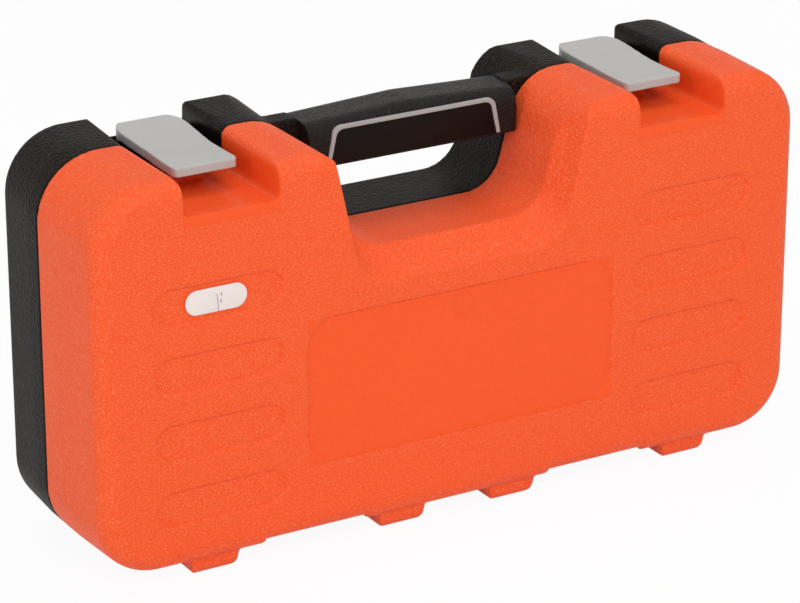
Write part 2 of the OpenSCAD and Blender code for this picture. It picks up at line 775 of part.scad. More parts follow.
module ratchet_body() color([0.78, 0.78, 0.79]) {
    difference() {
        union() {
            at_head(head_y[0] + cover_t) cylinder(r = head_r, h = head_y[1] - head_y[0] - cover_t);
            translate([head_pos[0], joint_y, head_pos[1]]) rotate([0, 90, 0])
                cylinder(r = tang_r, h = ratchet_reach - 3);
        }
        at_head(head_y[0] - 1) cylinder(r = head_r, h = cover_t + 1);
        at_head(head_y[0]) cylinder(r = cavity_r, h = head_y[1] - head_y[0] - head_floor);
        at_head(head_y[0]) cylinder(r = journal_r + running_fit, h = 40);
        // Pocket of the pawl and its spring, beside the gear.
        translate([head_pos[0], head_y[0], head_pos[1] - pawl_room[1] / 2])
            cube([pawl_room[0], head_y[1] - head_y[0] - head_floor, pawl_room[1]]);
        for (a = screw_angles) screw_hole(a, 1.25);
    }
}

// Moulded sleeve on the ratchet's bar.
module ratchet_grip() color([0.1, 0.1, 0.1]) {
    translate([grip_x0, joint_y, head_pos[1]]) rotate([0, 90, 0]) difference() {
        cylinder(r = grip_r, h = grip_x1 - grip_x0);
        translate([0, 0, -1]) cylinder(r = tang_r + nudge, h = grip_x1 - grip_x0 - 2);
    }
}

module screw_hole(a, r) {
    at_head(head_y[0] - 1) rotate([0, 0, a]) translate([head_r - screw_in, 0, 0]) cylinder(r = r, h = 9);
}

module ratchet_cover() color([0.72, 0.72, 0.74]) {
    difference() {
        at_head(cover_y) cylinder(r = head_r - 0.5, h = cover_t);
        at_head(cover_y - 1) cylinder(r = hub_r + 0.3, h = cover_t + 2);
        translate([lever_x, cover_y - 1, head_pos[1]]) rotate([-90, 0, 0]) cylinder(r = stem_r + running_fit, h = cover_t + 2);
        for (a = screw_angles) screw_hole(a, 1.3);
    }
}

module cover_screws() color([0.6, 0.6, 0.62]) {
    for (a = screw_angles) at_head(cover_y) rotate([0, 0, a]) translate([head_r - screw_in, 0, 0]) {
        cylinder(r = 1.2, h = 7);
        translate([0, 0, -1]) cylinder(r = 2.3, h = 1);
    }
}

module drive_gear() color([0.66, 0.66, 0.68]) {
    difference() {
        union() {
            at_head(gear_y[0]) linear_extrude(gear_y[1] - gear_y[0]) polygon([for (i = [0:2 * gear_teeth - 1])
                let (a = i * 180 / gear_teeth, r = i % 2 == 0 ? gear_r : gear_r - 0.9) [r * cos(a), r * sin(a)]]);
            at_head(head_y[0] - 0.4) cylinder(r = hub_r, h = gear_y[0] - head_y[0] + 0.5);
            at_head(gear_y[1] - 0.1) cylinder(r = journal_r, h = head_y[1] - gear_y[1] + 0.3);
            at_head(head_y[1]) translate([-drive_sq / 2, -drive_sq / 2, 0]) cube([drive_sq, drive_sq, drive_len]);
        }
        at_head(head_y[0] - 1) cylinder(r = button_r + running_fit, h = 8);
        at_head(head_y[1] + drive_len - 5.5) rotate([0, 90, 0]) cylinder(r = ball_r + ball_fit, h = 20);
    }
}

module release_button() color([0.6, 0.6, 0.62]) {
    at_head(head_y[0] - 2.8) cylinder(r = button_r, h = 7.2);
}

module ratchet_pawl() color([0.55, 0.55, 0.57]) {
    translate([pawl_x, gear_y[0], head_pos[1] - 5])
        cube([3.2, gear_y[1] - gear_y[0] - 0.3, 10]);
}

module pawl_spring() color([0.5, 0.5, 0.52]) {
    translate([pawl_x + 3.2, joint_y, head_pos[1]]) rotate([0, 90, 0]) difference() {
        cylinder(r = 1.6, h = head_pos[0] + pawl_room[0] - pawl_x - 3.2);
        translate([0, 0, -1]) cylinder(r = 1, h = 9);
    }
}

module reversing_lever() color([0.64, 0.64, 0.66]) {
    translate([lever_x, 0, head_pos[1]]) {
        translate([0, gear_y[0] - 2.4, 0]) rotate([90, 0, 0]) cylinder(r = stem_r, h = gear_y[0] - 2.4 - cover_y + 3);
        translate([0, cover_y - 0.3, 0]) rotate([90, 0, 0]) cylinder(r = 3.8, h = 3);
        translate([0, cover_y - 3.3, -2]) cube([12, 3, 4]);
    }
}

module ball_at(p) translate(p) sphere(r = ball_r);

// Blind hole for a ball in one side of a square drive.
module ball_hole() {
    rotate([0, 90, 0]) cylinder(r = ball_r + ball_fit, h = drive_sq);
}

module drive_balls() color([0.8, 0.8, 0.82]) {
    ball_at([tools_x0 + long_ext - ball_back, joint_y, long_z + drive_sq / 2 - ball_sink]);
    ball_at([short_x + drive_sq / 2 - ball_sink, joint_y, short_z + short_ext - ball_back]);
    ball_at([ujoint_x + drive_sq / 2 - ball_sink, joint_y, plug_z + ujoint_parts[2] + ball_back]);
}

module ratchet_ball() color([0.8, 0.8, 0.82]) {
    ball_at([head_pos[0] + drive_sq / 2 - ball_sink, head_y[1] + drive_len - 5.5, head_pos[1]]);
}

// An extension bar standing on its female end.
module extension(l) color([0.76, 0.76, 0.77]) {
    difference() {
        union() {
            cylinder(r = female_r, h = female_l);
            translate([0, 0, female_l]) cylinder(r1 = female_r, r2 = rod_r, h = 4, $fn = 64);
            cylinder(r = rod_r, h = l - male_l);
            translate([-drive_sq / 2, -drive_sq / 2, l - male_l - 2]) cube([drive_sq, drive_sq, male_l + 2]);
        }
        drive_hole(17);
        translate([0, 0, l - ball_back]) ball_hole();
    }
}

module long_extension() translate([tools_x0, joint_y, long_z]) rotate([0, 90, 0]) rotate([0, 0, 180]) extension(long_ext);
module short_extension() translate([short_x, joint_y, short_z]) extension(short_ext);

module at_ujoint(z) translate([ujoint_x, joint_y, plug_z + z]) children();

module joint_female_fork() color([0.74, 0.74, 0.75]) at_ujoint(0) difference() {
    cylinder(r = ujoint_r, h = ujoint_parts[1] + 5);
    drive_hole(16);
    translate([-8, -20, ujoint_parts[0]]) cube([16, 40, 60]);
    translate([-20, 0, ujoint_parts[1]]) rotate([0, 90, 0]) cylinder(r = 2.5 + running_fit, h = 40);
}

module joint_male_fork() color([0.74, 0.74, 0.75]) at_ujoint(0) {
    difference() {
        translate([0, 0, ujoint_parts[1] - 5]) cylinder(r = ujoint_r, h = ujoint_parts[2] - ujoint_parts[1] + 5);
        translate([-20, -8, 0]) cube([40, 16, ujoint_parts[2] - 5]);
        for (sx = [-1, 1]) translate([sx > 0 ? 6.6 : -20, -20, 0]) cube([13.4, 40, ujoint_parts[1] + 6]);
        translate([0, -20, ujoint_parts[1]]) rotate([-90, 0, 0]) cylinder(r = 2.5 + running_fit, h = 40);
    }
    difference() {
        translate([-drive_sq / 2, -drive_sq / 2, ujoint_parts[2] - 1]) cube([drive_sq, drive_sq, male_l + 1]);
        translate([0, 0, ujoint_parts[2] + ball_back]) ball_hole();
    }
}

module joint_cross() color([0.6, 0.6, 0.62]) at_ujoint(ujoint_parts[1]) difference() {
    cube([13, 15.4, 10], center = true);
    translate([-20, 0, 0]) rotate([0, 90, 0]) cylinder(r = 2.52, h = 40);
    translate([0, -20, 0]) rotate([-90, 0, 0]) cylinder(r = 2.52, h = 40);
}

module joint_pins() color([0.66, 0.66, 0.68]) at_ujoint(ujoint_parts[1]) {
    translate([-11, 0, 0]) rotate([0, 90, 0]) cylinder(r = 2.5, h = 22);
    translate([0, -11, 0]) rotate([-90, 0, 0]) cylinder(r = 2.5, h = 22);
}

base_shell();
base_tray();
lid_shell();
lid_liner();
hinge_pins();
latch_left();
latch_right();
latch_pins();
grip_sleeve();
grip_inlay();
grip_bead();
label_plate();
ratchet_body();
ratchet_grip();
ratchet_cover();
cover_screws();
drive_gear();
ratchet_pawl();
pawl_spring();
reversing_lever();
release_button();
drive_balls();
ratchet_ball();
long_extension();
short_extension();
joint_female_fork();
joint_male_fork();
joint_cross();
joint_pins();
plug_inserts();
for (i = [0:size_count(row_sizes) - 1])
    socket_at(row_sizes, i, row_x0, row_z);
for (i = [0:size_count(left_sizes) - 1])
    socket_at(left_sizes, i, tools_x0, upper_z);
for (i = [0:size_count(right_sizes) - 1])
    socket_at(right_sizes, i, right_x0, upper_z);
for (i = [0:size_count(plug_sizes) - 1])
    plug_socket_at(i);
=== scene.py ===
import math

import bpy
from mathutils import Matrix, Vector


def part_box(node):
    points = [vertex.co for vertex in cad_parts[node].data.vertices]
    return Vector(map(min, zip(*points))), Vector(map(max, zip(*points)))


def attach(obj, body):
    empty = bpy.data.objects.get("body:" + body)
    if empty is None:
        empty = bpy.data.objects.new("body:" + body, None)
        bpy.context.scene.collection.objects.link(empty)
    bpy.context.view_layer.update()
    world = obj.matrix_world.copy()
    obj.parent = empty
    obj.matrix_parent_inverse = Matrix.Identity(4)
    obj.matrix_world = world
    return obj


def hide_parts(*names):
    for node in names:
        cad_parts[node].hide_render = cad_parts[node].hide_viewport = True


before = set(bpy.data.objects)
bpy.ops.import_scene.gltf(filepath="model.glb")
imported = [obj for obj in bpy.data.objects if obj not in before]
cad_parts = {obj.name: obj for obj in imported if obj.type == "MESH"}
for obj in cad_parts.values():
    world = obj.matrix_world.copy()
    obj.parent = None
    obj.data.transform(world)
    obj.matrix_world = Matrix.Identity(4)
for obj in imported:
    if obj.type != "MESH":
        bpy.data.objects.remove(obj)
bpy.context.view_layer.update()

# ------------------------------------------------------------------ view
# A long lens 1.7 m from the left front corner of the case, looking down on it, so that its face, its
# left end and the tops of its humps are seen.
MM = 0.001
YAW, PITCH = math.radians(30.35), math.radians(21.6)
VIEW_DISTANCE = 1719.8 * MM
VIEW_TARGET = Vector((-1.7, 8.7, 92.0)) * MM
SENSOR_MM = 36
FOCAL_PIXELS, IMAGE_WIDTH = 3535.8, 800

sight = Vector((math.sin(YAW) * math.cos(PITCH), math.cos(YAW) * math.cos(PITCH), -math.sin(PITCH)))
bpy.ops.object.camera_add(location=VIEW_TARGET - sight * VIEW_DISTANCE)
camera = bpy.context.object
camera.rotation_euler = sight.to_track_quat("-Z", "Y").to_euler()
camera.data.sensor_width = SENSOR_MM
camera.data.lens = FOCAL_PIXELS * SENSOR_MM / IMAGE_WIDTH
camera.data.clip_end = 20
bpy.context.scene.camera = camera
bpy.context.scene.view_settings.view_transform = "Standard"


# ------------------------------------------------------------------ shader maths
# A finish is one material. Its node method adds any shader node; the wire that comes back takes part in
# sums and products, which add the Math nodes.
class Wire:
    def __init__(self, finish, socket):
        self.finish = finish
        self.socket = socket

    def math(self, operation, first, second=0.0):
        return self.finish.node("ShaderNodeMath", {"operation": operation}, {0: first, 1: second})

    def __add__(self, other):
        return self.math("ADD", self, other)

    def __radd__(self, other):
        return self.math("ADD", other, self)

    def __sub__(self, other):
        return self.math("SUBTRACT", self, other)

    def __rsub__(self, other):
        return self.math("SUBTRACT", other, self)

    def __mul__(self, other):
        return self.math("MULTIPLY", self, other)

    def __rmul__(self, other):
        return self.math("MULTIPLY", other, self)

    def __abs__(self):
        return self.math("ABSOLUTE", self)

    def over(self, limit):
        return self.math("GREATER_THAN", self, limit)

    def below(self, limit):
        return self.math("LESS_THAN", self, limit)

    def root(self):
        return self.math("SQRT", self)

    def most(self, other):
        return self.math("MAXIMUM", self, other)

    def ease(self, low, high):
        return self.finish.node("ShaderNodeMapRange", {"interpolation_type": "SMOOTHSTEP"},
                                {0: self, 1: low, 2: high, 3: 0.0, 4: 1.0})


class Finish:
    def __init__(self, name, **constants):
        self.material = bpy.data.materials.new(name)
        self.material.use_nodes = True
        self.tree = self.material.node_tree
        self.surface = self.tree.nodes["Principled BSDF"]
        self.feed(self.surface, constants)

    def feed(self, node, values):
        for key, value in values.items():
            socket = node.inputs[key]
            if isinstance(value, Wire):
                self.tree.links.new(value.socket, socket)
            else:
                socket.default_value = value

    def node(self, kind, settings=None, inputs=None, output=0):
        made = self.tree.nodes.new(kind)
        for key, value in (settings or {}).items():
            setattr(made, key, value)
        self.feed(made, inputs or {})
        return Wire(self, made.outputs[output])

    def place(self):
        return self.node("ShaderNodeTexCoord", output="Object")

    def axes(self):
        split = self.tree.nodes.new("ShaderNodeSeparateXYZ")
        self.feed(split, {0: self.place()})
        return [Wire(self, split.outputs[i]) for i in range(3)]

    def noise(self, scale, detail=2.0, rough=0.5):
        return self.node("ShaderNodeTexNoise", None,
                         {"Vector": self.place(), "Scale": scale, "Detail": detail, "Roughness": rough})

    def cells(self, scale, feature="SMOOTH_F1"):
        return self.node("ShaderNodeTexVoronoi", {"feature": feature},
                         {"Vector": self.place(), "Scale": scale}, "Distance")

    def mix(self, factor, first, second):
        return self.node("ShaderNodeMix", {"data_type": "RGBA"}, {0: factor, 6: first, 7: second}, 2)

    def bump(self, height, distance, strength=1.0):
        return self.node("ShaderNodeBump", None,
                         {"Height": height, "Distance": distance, "Strength": strength})

    def wear(self, **links):
        names = {"colour": "Base Color", "roughness": "Roughness", "normal": "Normal"}
        self.feed(self.surface, {names[key]: value for key, value in links.items()})
        return self.material


def dress(piece, material):
    piece.data.materials.clear()
    piece.data.materials.append(material)


# ------------------------------------------------------------------ studio
# A pale paper floor that meets a pale wall, a large soft lamp high over the camera, softer ones at the
# sides and a weak one overhead.
FLOOR_SIZE, WALL_HEIGHT = 9.0, 3.0
bpy.ops.object.select_all(action="DESELECT")
bpy.ops.mesh.primitive_plane_add(size=FLOOR_SIZE, location=(0, 0, 0))
floor = bpy.context.object
floor.name = "studio_floor"
bpy.ops.object.mode_set(mode="EDIT")
bpy.ops.mesh.select_mode(type="EDGE")
bpy.ops.mesh.select_all(action="DESELECT")
bpy.ops.object.mode_set(mode="OBJECT")
for edge in floor.data.edges:
    edge.select = all(floor.data.vertices[i].co.y > FLOOR_SIZE / 2 - 0.01 for i in edge.vertices)
bpy.ops.object.mode_set(mode="EDIT")
bpy.ops.mesh.extrude_region_move(TRANSFORM_OT_translate={"value": (0, 0, WALL_HEIGHT)})
bpy.ops.object.mode_set(mode="OBJECT")

PAPER_GLOW = 0.94
paper = Finish("studio_paper", Roughness=0.95)
paper.wear(colour=paper.mix(paper.noise(3.0), (0.88, 0.88, 0.88, 1), (0.9, 0.9, 0.9, 1)))
white_sheet = paper.node("ShaderNodeEmission", None, {"Color": (1, 1, 1, 1), "Strength": 1.0})
seen = paper.node("ShaderNodeLightPath", output="Is Camera Ray")
mirrored = paper.node("ShaderNodeLightPath", output="Is Glossy Ray")
lit_sheet = Wire(paper, paper.surface.outputs[0])
blend_in = paper.node("ShaderNodeMixShader", None,
                      {0: seen.most(mirrored) * PAPER_GLOW, 1: lit_sheet, 2: white_sheet})
paper.tree.links.new(blend_in.socket, paper.tree.nodes["Material Output"].inputs["Surface"])
dress(floor, paper.material)

sky = bpy.data.worlds.new("studio_light")
bpy.context.scene.world = sky
sky.use_nodes = True
room = sky.node_tree.nodes["Background"]
room.inputs["Color"].default_value = (1.0, 0.99, 0.98, 1)
room.inputs["Strength"].default_value = 0.5
backdrop = sky.node_tree.nodes.new("ShaderNodeBackground")
backdrop.inputs["Strength"].default_value = 1.0
sky_seen = sky.node_tree.nodes.new("ShaderNodeLightPath")
sky_mix = sky.node_tree.nodes.new("ShaderNodeMixShader")
sky.node_tree.links.new(sky_seen.outputs["Is Camera Ray"], sky_mix.inputs[0])
sky.node_tree.links.new(room.outputs[0], sky_mix.inputs[1])
sky.node_tree.links.new(backdrop.outputs[0], sky_mix.inputs[2])
sky.node_tree.links.new(sky_mix.outputs[0], sky.node_tree.nodes["World Output"].inputs["Surface"])

LAMPS = [
    ("lamp_over_camera", (-0.7, -2.2, 1.9), 1.5, 33.0),
    ("lamp_left", (-2.3, -0.3, 0.9), 1.4, 8.0),
    ("lamp_above", (0.3, 0.2, 2.5), 1.4, 13.0),
    ("lamp_right", (2.3, -1.0, 1.0), 1.2, 5.0),
]
for name, spot, width, power in LAMPS:
    bpy.ops.object.light_add(type="AREA", location=spot)
    lamp = bpy.context.object
    lamp.name = name
    lamp.data.shape = "SQUARE"
    lamp.data.size = width
    lamp.data.energy = power
    aim = Vector((0, 0, 0.1)) - Vector(spot)
    lamp.rotation_euler = aim.to_track_quat("-Z", "Y").to_euler()


# ------------------------------------------------------------------ lid shell
# The lid's outer skin, blow moulded in orange polyethylene with a fine pebble grain; its face panel and
# latch channels are polished. It hangs on the front knuckles of the hinge.
def only(obj):
    bpy.ops.object.select_all(action="DESELECT")
    obj.select_set(True)
    bpy.context.view_layer.objects.active = obj


def cast_of(node, name):
    """A merged copy of a frame node, to be worked on as a new piece."""
    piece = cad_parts[node].copy()
    piece.data = piece.data.copy()
    piece.name = name
    piece.parent = None
    for key in list(piece.keys()):
        del piece[key]
    bpy.context.scene.collection.objects.link(piece)
    only(piece)
    bpy.ops.object.mode_set(mode="EDIT")
    bpy.ops.mesh.select_all(action="SELECT")
    bpy.ops.mesh.remove_doubles(threshold=1e-6)
    bpy.ops.object.mode_set(mode="OBJECT")
    return piece


def apply_modifier(piece, kind, **settings):
    only(piece)
    modifier = piece.modifiers.new(kind.lower(), kind)
    for key, value in settings.items():
        setattr(modifier, key, value)
    bpy.ops.object.modifier_apply(modifier=modifier.name)


def mould(piece, voxel, passes, limit):
    """Softens a shape as moulding does: fine voxels, relaxed edges, and fewer faces where it is flat."""
    only(piece)
    piece.data.remesh_voxel_size = voxel
    piece.data.use_remesh_preserve_volume = True
    bpy.ops.object.voxel_remesh()
    apply_modifier(piece, "SMOOTH", iterations=passes, factor=0.5)
    faces = sum(len(p.vertices) - 2 for p in piece.data.polygons)
    if faces > limit:
        apply_modifier(piece, "DECIMATE", ratio=limit / faces)
    only(piece)
    bpy.ops.object.shade_smooth()


def stands_for(piece, node, body="base"):
    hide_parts(node)
    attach(piece, body)


SHELL_TRIANGLES = 185000
SHELL_VOXEL = 1.05 * MM
LID_PASSES = 4
CREASE_ANGLE = math.radians(25)
face_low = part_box("lid_shell")[0]
lid = cast_of("lid_shell", "lid_moulding")
mould(lid, SHELL_VOXEL, LID_PASSES, SHELL_TRIANGLES)

PILL_W, PILL_H, PILL_X, PILL_Z, PILL_PITCH = 66.2 * MM, 16.9 * MM, 129.7 * MM, 39.1 * MM, 33.1 * MM
PILL_DEPTH, PILL_SLOPE, PILL_EASE, CUT_ABOVE = 1.45 * MM, 1.3 * MM, 0.9 * MM, 0.2 * MM
PILL_ROWS, PILL_ROUND_SHARE = 4, 0.8
PANEL_W, PANEL_H, PANEL_Z, PANEL_R = 168.2 * MM, 73.4 * MM, 81.5 * MM, 14 * MM
PANEL_DEPTH, PANEL_SLOPE = 1.15 * MM, 0.6 * MM
CORNER_SEGMENTS = 12


def recess_cutter(x, z, width, height, radius, depth, slope):
    """A block with rounded corners that stands in the face of the lid and narrows towards its floor."""
    bpy.ops.object.select_all(action="DESELECT")
    middle = face_low.y + (depth - CUT_ABOVE) / 2
    bpy.ops.mesh.primitive_cube_add(size=1, location=(x, middle, z),
                                    scale=(width, depth + CUT_ABOVE, height))
    block = bpy.context.object
    bpy.ops.object.transform_apply(location=True, rotation=True, scale=True)
    bpy.ops.object.mode_set(mode="EDIT")
    bpy.ops.mesh.select_mode(type="EDGE")
    bpy.ops.mesh.select_all(action="DESELECT")
    bpy.ops.object.mode_set(mode="OBJECT")
    for edge in block.data.edges:
        ends = [block.data.vertices[i].co for i in edge.vertices]
        edge.select = abs(ends[0].y - ends[1].y) > depth / 2
    bpy.ops.object.mode_set(mode="EDIT")
    bpy.ops.mesh.bevel(offset=radius, segments=CORNER_SEGMENTS)
    bpy.ops.mesh.select_mode(type="FACE")
    bpy.ops.mesh.select_all(action="DESELECT")
    bpy.ops.object.mode_set(mode="OBJECT")
    for polygon in block.data.polygons:
        polygon.select = polygon.normal.y > 0.9
    bpy.ops.object.mode_set(mode="EDIT")
    bpy.ops.transform.resize(value=(1 - 2 * slope / width, 1, 1 - 2 * slope / height),
                             center_override=(x, 0, z))
    bpy.ops.object.mode_set(mode="OBJECT")
    return block


pill_round = PILL_H / 2 + PILL_ROUND_SHARE * PILL_EASE
cutters = [recess_cutter(0, PANEL_Z, PANEL_W, PANEL_H, PANEL_R, PANEL_DEPTH, PANEL_SLOPE)]
for side in (-1, 1):
    for row in range(PILL_ROWS):
        cutters.append(recess_cutter(side * PILL_X, PILL_Z + row * PILL_PITCH, PILL_W + 2 * PILL_EASE,
                                     PILL_H + 2 * PILL_EASE, pill_round, PILL_DEPTH, PILL_SLOPE))
for cutter in cutters:
    cutter.select_set(True)
bpy.context.view_layer.objects.active = cutters[0]
bpy.ops.object.join()
apply_modifier(lid, "BOOLEAN", operation="DIFFERENCE", object=cutters[0], solver="EXACT")
bpy.data.objects.remove(cutters[0])
only(lid)
bpy.ops.object.shade_smooth_by_angle(angle=CREASE_ANGLE)
stands_for(lid, "lid_shell", "lid")

PANEL_REACH = 3 * MM
GATE_X, GATE_Z, GATE_R, GATE_LINE, GATE_DIP = 0.4 * MM, 109.9 * MM, 5.6 * MM, 0.45 * MM, 0.35
CHANNEL_X, CHANNEL_HALF, CHANNEL_FROM_Z = 122.25 * MM, 25 * MM, 175 * MM
# The fourth scale sets the size of the pale painted highlights on the grain.
PEBBLE_SCALE, LUMP_SCALE, PAINTED_GLINT_SCALE, DRIFT_SCALE = 700.0, 600.0, 1500.0, 14.0
GRAIN_HEIGHT, DRIFT_SHARE, DRIFT_DARK = 0.6 * MM, 0.35, 0.9


def pebbled(name, colour, painted_glint, painted_glint_share, polished, marks, constants):
    """Grained polyethylene: pebbles in the bump, a slow drift of colour, and pale specks between them
    that are painted highlights, standing in for light glinting off the grain.
    """
    finish = Finish(name, **constants)
    x, y, z = finish.axes()
    smooth = polished(x, y, z)
    pebble = finish.cells(PEBBLE_SCALE)
    lump = finish.noise(LUMP_SCALE, 3.0, 0.6)
    grain = (pebble * 0.7 + lump) * (1.0 - smooth) + marks(x, y, z)
    drift = finish.noise(DRIFT_SCALE, 3.0)
    darker = [channel * DRIFT_DARK for channel in colour[:3]] + [1]
    tint = finish.mix(drift * DRIFT_SHARE, colour, darker)
    # Painted highlights: pale specks mixed into the colour of the grained parts stand in for light
    # glinting off the pebbles.
    painted_glint_mask = finish.noise(PAINTED_GLINT_SCALE, 2.0, 0.7).ease(0.54, 0.66) * (1.0 - smooth)
    shade = finish.mix(painted_glint_mask * painted_glint_share, tint, painted_glint)
    rough = 0.44 + 0.10 * finish.noise(300.0) - 0.22 * smooth
    return finish.wear(colour=shade, roughness=rough, normal=finish.bump(grain, GRAIN_HEIGHT, 0.9))


def in_channel(x, z):
    return abs(abs(x) - CHANNEL_X).below(CHANNEL_HALF) * z.over(CHANNEL_FROM_Z)


def lid_polish(x, y, z):
    panel = (abs(x).below(PANEL_W / 2) * abs(z - PANEL_Z).below(PANEL_H / 2)
             * y.below(face_low.y + PANEL_REACH))
    return panel.most(in_channel(x, z))


def gate_mark(x, y, z):
    """The ring that the mould's gate leaves on the panel."""
    from_middle = ((x - GATE_X) * (x - GATE_X) + (z - GATE_Z) * (z - GATE_Z)).root()
    return abs(from_middle - GATE_R).below(GATE_LINE) * y.below(face_low.y + PANEL_REACH) * -GATE_DIP


# The second colour is the pale orange of the painted highlights on the grain, mixed in at 0.56.
orange_pe = pebbled("orange_polyethylene", (0.93, 0.102, 0.021, 1), (1.0, 0.36, 0.20, 1), 0.56,
                    lid_polish, gate_mark, {"Specular IOR Level": 0.14})
dress(lid, orange_pe)

# ------------------------------------------------------------------ lid liner
# The lid's inner skin, the same orange plastic formed to the tools' front halves; smooth, and joined to
# the outer skin along its rim.
HARD_ANGLE = math.radians(35)
FLAT_ANGLE = math.radians(0.6)


def trimmed(node, name, edge):
    """A copy of a node with its coplanar faces joined and its edges broken by a small round."""
    piece = cast_of(node, name)
    bpy.ops.object.mode_set(mode="EDIT")
    bpy.ops.mesh.select_all(action="SELECT")
    bpy.ops.mesh.dissolve_limited(angle_limit=FLAT_ANGLE)
    bpy.ops.object.mode_set(mode="OBJECT")
    apply_modifier(piece, "BEVEL", width=edge, segments=2, limit_method="ANGLE",
                   angle_limit=HARD_ANGLE)
    only(piece)
    bpy.ops.object.shade_smooth_by_angle(angle=HARD_ANGLE)
    return piece


liner = cast_of("lid_liner", "lid_liner_moulding")
bpy.ops.object.shade_smooth_by_angle(angle=HARD_ANGLE)
stands_for(liner, "lid_liner", "lid")
liner_pe = Finish("liner_polyethylene", **{"Specular IOR Level": 0.3})
liner_pe.wear(colour=liner_pe.mix(liner_pe.noise(16.0, 3.0), (0.86, 0.09, 0.02, 1),
                                  (0.80, 0.08, 0.018, 1)),
              roughness=0.38 + 0.12 * liner_pe.noise(240.0),
              normal=liner_pe.bump(liner_pe.noise(500.0), 0.12 * MM, 0.4))
dress(liner, liner_pe.material)

# ------------------------------------------------------------------ base shell
# The base's outer skin in black polyethylene with the same grain, moulded in one with the strap that
# carries the grip, the lugs of the latches and the rear knuckles of the hinge.
BASE_PASSES = 5
base = cast_of("base_shell", "base_moulding")
mould(base, SHELL_VOXEL, BASE_PASSES, SHELL_TRIANGLES)
stands_for(base, "base_shell")


def base_polish(x, y, z):
    return in_channel(x, z)


def no_mark(x, y, z):
    return x * 0.0


# The second colour is the grey of the painted highlights on the grain, mixed in at 0.6.
black_pe = pebbled("black_polyethylene", (0.008, 0.0054, 0.0038, 1), (0.078, 0.058, 0.045, 1), 0.6,
                   base_polish, no_mark, {"Specular IOR Level": 0.08})
dress(base, black_pe)

# ------------------------------------------------------------------ base tray
# The base's inner skin in black, formed round the back halves of the tools, which snap into it.
tray = cast_of("base_tray", "base_tray_moulding")
bpy.ops.object.shade_smooth_by_angle(angle=HARD_ANGLE)
stands_for(tray, "base_tray")
tray_pe = Finish("tray_polyethylene", **{"Specular IOR Level": 0.35})
tray_pe.wear(colour=tray_pe.mix(tray_pe.noise(16.0, 3.0), (0.016, 0.0145, 0.0135, 1),
                                (0.021, 0.019, 0.018, 1)),
             roughness=0.42 + 0.12 * tray_pe.noise(240.0),
             normal=tray_pe.bump(tray_pe.noise(500.0), 0.12 * MM, 0.4))
dress(tray, tray_pe.material)

# ------------------------------------------------------------------ latches
# Two silver-grey latches injected in nylon as shallow trays turned upside down, with a dip for the
# thumb and a crisp lip in front. Each turns on a pin at the back of its channel.
LATCH_VOXEL, LATCH_PASSES, LATCH_TRIANGLES = 0.45 * MM, 10, 60000
nylon = Finish("silver_grey_nylon", **{"Specular IOR Level": 0.5})
nylon.wear(colour=nylon.mix(nylon.noise(45.0, 3.0), (0.43, 0.425, 0.41, 1), (0.47, 0.465, 0.45, 1)),
           roughness=0.33 + 0.10 * nylon.noise(260.0),
           normal=nylon.bump(nylon.noise(420.0, 2.0) + 0.6 * nylon.noise(1400.0), 0.05 * MM, 0.6))
for side in ("left", "right"):
    latch = cast_of(f"latch_{side}", f"latch_{side}_moulding")
    mould(latch, LATCH_VOXEL, LATCH_PASSES, LATCH_TRIANGLES)
    stands_for(latch, f"latch_{side}", f"latch_{side}")
    dress(latch, nylon.material)

# ------------------------------------------------------------------ pins, screws and spring
# Drawn steel: the pins of the hinge and of the latches, the screws of the ratchet's cover and the coil
# behind its pawl.
wire_steel = Finish("drawn_steel", Metallic=1.0)
wire_steel.wear(colour=wire_steel.mix(wire_steel.noise(60.0), (0.50, 0.50, 0.52, 1),
                                      (0.58, 0.58, 0.6, 1)),
                roughness=0.26 + 0.14 * wire_steel.noise(400.0))
for node in ("hinge_pins", "latch_pins", "cover_screws", "pawl_spring"):
    dress(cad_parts[node], wire_steel.material)

# ------------------------------------------------------------------ grip sleeve
# The sleeve over the strap, moulded in black thermoplastic rubber with a coarse leather grain and a fine
# parting line along its crown.
GRIP_VOXEL, GRIP_PASSES, GRIP_TRIANGLES = 0.6 * MM, 5, 90000
grip_low, grip_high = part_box("grip_sleeve")
grip = cast_of("grip_sleeve", "grip_moulding")
mould(grip, GRIP_VOXEL, GRIP_PASSES, GRIP_TRIANGLES)
stands_for(grip, "grip_sleeve")
PARTING_Y, PARTING_HALF, CROWN_DEPTH = grip_low.y + 13.5 * MM, 0.5 * MM, 6 * MM
leather = Finish("leather_grain_rubber", **{"Specular IOR Level": 0.2})
along_y, along_z = leather.axes()[1:]
crease = leather.cells(640.0, "DISTANCE_TO_EDGE").ease(0.0, 0.28)
pore = leather.noise(1300.0, 3.0, 0.6)
parting = abs(along_y - PARTING_Y).below(PARTING_HALF) * along_z.over(grip_high.z - CROWN_DEPTH)
leather.wear(colour=leather.mix(leather.noise(25.0, 3.0), (0.0085, 0.006, 0.0048, 1),
                                (0.0125, 0.0092, 0.0075, 1)),
             roughness=0.36 + 0.12 * leather.noise(300.0),
             normal=leather.bump(crease * 0.8 + pore * 0.35 - parting * 0.7, 0.42 * MM, 0.9))
dress(grip, leather.material)

# ------------------------------------------------------------------ inlay
# A smooth soft-touch pad let into the front of the grip.
inlay = trimmed("grip_inlay", "inlay_pad", 0.25 * MM)
stands_for(inlay, "grip_inlay")
soft_touch = Finish("soft_touch_pad", **{"Specular IOR Level": 0.1})
soft_touch.wear(colour=soft_touch.mix(soft_touch.noise(30.0, 3.0), (0.0075, 0.0042, 0.0028, 1),
                                      (0.0095, 0.0056, 0.004, 1)),
                roughness=0.5 + 0.08 * soft_touch.noise(200.0),
                normal=soft_touch.bump(soft_touch.noise(900.0), 0.05 * MM, 0.3))
dress(inlay, soft_touch.material)

